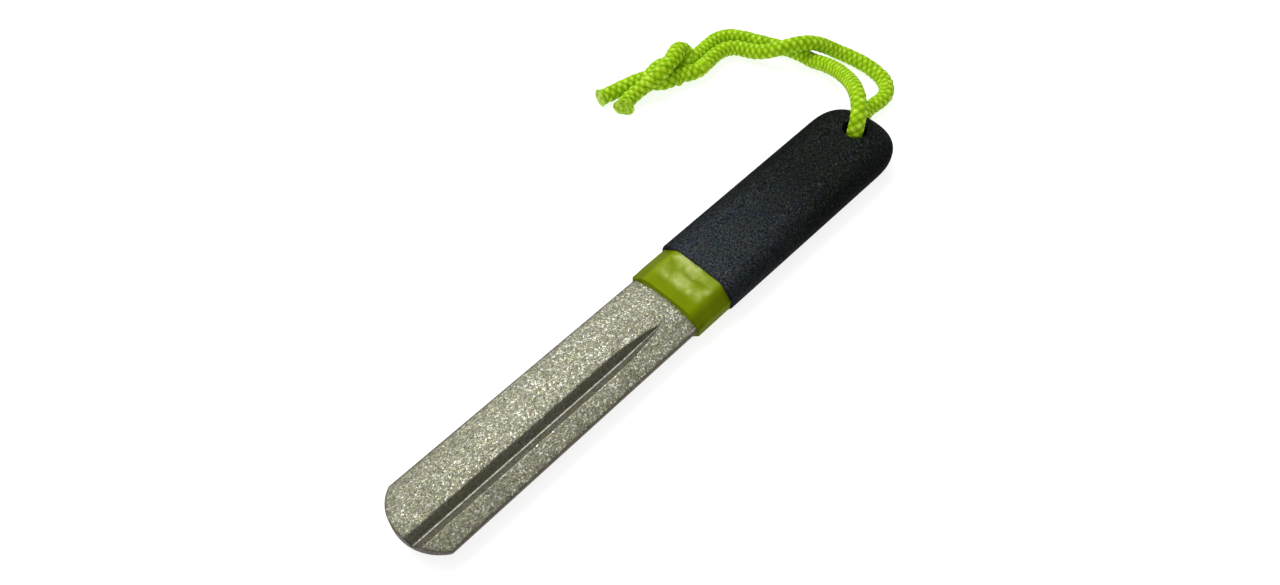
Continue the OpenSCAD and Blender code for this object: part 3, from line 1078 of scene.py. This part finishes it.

# %% [markdown]
# ## Ground groove
# The groove was ground through the coating, so it's darker, finer and smoother, with a brownish tone in
# patches. Broken glints along its bottom are painted into the colour, a painted highlight. The file's outer
# edge is painted darker than its top, as painted shade.

# %% Ground groove
groove = grit.attribute("groove")
valley = grit.attribute("valley")
rim = grit.attribute("rim")
scratch = grit.noise(1700, 4, 0.75)
glint = grit.noise(1300, 2)
ground = grit.colours(
    scratch * 0.75 + grit.channel(fine_colour, 1) * 0.25,
    (0.25, (0.035, 0.032, 0.024)), (0.5, (0.1, 0.095, 0.072)),
    (0.7, (0.19, 0.185, 0.14)), (0.85, (0.34, 0.33, 0.22)))
ground = grit.mix(patch.ramp(0.42, 0.6) * 0.5, ground, (0.1, 0.088, 0.04))
steel_colour = grit.mix(groove, grains, ground)
# painted highlight: broken pale glints along the groove's bottom
painted_valley_glint = (valley * (glint * 2.6 - 0.35)).least(1).most(0)
steel_colour = grit.mix(painted_valley_glint, steel_colour, (0.78, 0.78, 0.68))
# painted shade: the colour darkens near the file's outer edge, standing in for the shade on its side
painted_edge_shade = (rim * (cloud * 1.4 + 0.5)).least(0.92)
steel_colour = grit.mix(painted_edge_shade, steel_colour, (0.06, 0.045, 0.028))
print("with the groove:", len(grit.tree.nodes), "nodes")

# %% [markdown]
# ## Sparkle and relief
# A few grains face the light and sparkle: they are smoother and more metallic than the rest.
# The cells' distances raise the grains, and the groove has only its fine scratches.

# %% Grit finish
sparkle = grit.channel(fine_colour, 2).ramp(0.8, 0.95)
grain_height = (0.8 - grit.cells(COARSE)) * 0.6 + (0.8 - grit.cells(FINE)) * 0.4
grit_material = grit.finish(
    steel_colour,
    roughness=0.62 - sparkle * 0.3,
    metallic=(0.35 + sparkle * 0.45) * (1 - groove * 0.5),
    height=grain_height * (1 - groove * 0.75) + scratch * groove * 0.35, depth=0.1 * MM)
dress(steel, grit_material)

# %% [markdown]
# ## Moulded green finish
# Hard plastic with a slightly uneven skin. The pad on top was left satin by the mould, so it's duller than
# the slopes round it, and it is painted paler, in blotches, as a painted reflection of the soft light. Where
# each zone lies comes from the same named sizes as the shape, so that colour and form can't drift apart.

# %% Green zones
PAD_LOW, PAD_HIGH = 8.3 * MM, 8.8 * MM
STREAK_X, STREAK_HALF = 5.6 * MM, 1.1 * MM
green = Paint("olive_green_moulding", IOR=1.08)
green_x = green.axis("X")
green_y = green.axis("Y")
green_z = green.axis("Z")
green_blotch = green.noise(420, 4, 0.6)
flow = green.noise(150, 2)
broad = green.noise(260, 2, 0.4)
right_of_left_edge = green_y.ramp(PAD_LEFT + 0.3 * MM, PAD_LEFT - 0.9 * MM)
left_of_right_edge = green_y.ramp(PAD_RIGHT - 0.3 * MM, PAD_RIGHT + 0.9 * MM)
behind_front_slope = green_x.ramp(collar_x + 2.3 * MM, collar_x + 3.6 * MM)
across = right_of_left_edge * left_of_right_edge
on_pad = green_z.ramp(PAD_LOW, PAD_HIGH) * behind_front_slope * across
not_left_slope = green_y.ramp(PAD_LEFT + 1.4 * MM, PAD_LEFT + 0.1 * MM)
not_right_slope = green_y.ramp(PAD_RIGHT - 1.4 * MM, PAD_RIGHT - 0.1 * MM)
on_side = 1 - not_left_slope * not_right_slope
print("pad, slopes and sides:", len(green.tree.nodes), "nodes")

# %% [markdown]
# ## Green colours
# The front slope is a full green. The long sides are painted darker, as painted shade, and the pad is
# painted paler and blotched, as a painted reflection. A streak of the plain dark green runs across the pad,
# over its sink mark, where that painted reflection breaks.

# %% Green finish
streak_away = green_x - STREAK_X + (flow - 0.5) * 3 * MM + (green_blotch - 0.5) * 1.4 * MM
streak = (1 - abs(streak_away) / STREAK_HALF).most(0)
streak = streak * green_y.ramp(3 * MM, 0.5 * MM) * green_y.ramp(-6.6 * MM, -4.5 * MM)
deep_green = green.colours(flow, (0.3, (0.165, 0.225, 0.0006)), (0.7, (0.215, 0.29, 0.002)))
# painted shade: a darker copy of the green for the side slopes
shaded_side_green = green.colours(flow, (0.3, (0.1, 0.125, 0.0003)), (0.7, (0.125, 0.165, 0.0006)))
# painted reflection: the pad's pale blotches stand in for the soft light reflected in it
pad_green_and_painted_reflection = green.colours(
    green_blotch * 0.4 + broad * 0.6,
    (0.36, (0.17, 0.25, 0.006)), (0.5, (0.28, 0.36, 0.042)), (0.62, (0.47, 0.54, 0.16)))
# the streak breaks the painted reflection with the plain dark green
pad_green_and_painted_reflection = green.mix(streak * 0.85, pad_green_and_painted_reflection, (0.15, 0.21, 0.001))
slope_green = green.mix(on_side, deep_green, shaded_side_green)
green_material = green.finish(
    green.mix(on_pad * 0.92, slope_green, pad_green_and_painted_reflection),
    roughness=0.42 + on_pad * 0.1 + green_blotch * 0.08,
    height=flow * 0.7 + green_blotch * 0.3, depth=0.05 * MM)
dress(core, green_material)

# %% [markdown]
# ## Rubber finish
# Soft black rubber with the fine leathery grain of an etched mould. Two sizes of noise make the grain's
# specks and Voronoi cells its creases. The front half is tinted a faint lighter blue that fades towards the
# end, a slow noise shifts the black's hue, and the sides are painted darker, as painted shade. Its index of
# refraction is set low, so that the rubber has no gloss to speak of.

# %% Rubber colours
FRONT_BLUE_LEN = 36 * MM
SHOULDER_FROM, SHOULDER_TO = 5.5 * MM, 9.5 * MM
rubber = Paint("grained_rubber", IOR=1.09)
grain = rubber.noise(1500, 4, 0.75)
leather = rubber.cells(0.5 * MM)
speck = rubber.noise(2900, 2)
front = 1 - rubber.axis("X").ramp(grip_x, grip_x + FRONT_BLUE_LEN)
front_blue_share = front * (0.55 + 0.45 * rubber.noise(160, 3))
shaded_shoulder = abs(rubber.axis("Y")).ramp(SHOULDER_FROM, SHOULDER_TO)
black = rubber.colours(
    grain * 0.5 + speck * 0.5,
    (0.36, (0.0008, 0.001, 0.0008)), (0.48, (0.008, 0.0095, 0.0085)),
    (0.58, (0.024, 0.026, 0.024)), (0.68, (0.085, 0.088, 0.09)))
blue = rubber.colours(speck * 0.6 + grain * 0.4, (0.4, (0.009, 0.01, 0.015)), (0.62, (0.13, 0.14, 0.175)))
tint = rubber.colours(
    rubber.noise(330, 3),
    (0.36, (0.8, 0.78, 1.0)), (0.47, (0.82, 1.0, 0.9)), (0.56, (1, 0.97, 0.86)), (0.66, (0.82, 0.9, 1.0)))
print("rubber colours:", len(rubber.tree.nodes), "nodes")

# %% Rubber finish
# the front half is tinted a lighter blue, fading towards the end
black = rubber.mix(front_blue_share * 0.6, black, blue)
black = rubber.mix(1, black, tint, "MULTIPLY")
# painted shade: the grip's sides darken towards near black
black = rubber.mix(shaded_shoulder * 0.6, black, (0.002, 0.0025, 0.0018))
rubber_material = rubber.finish(
    black,
    roughness=0.66 + grain * 0.25,
    height=grain * 0.6 - leather * 0.5, depth=0.12 * MM)
dress(grip, rubber_material)
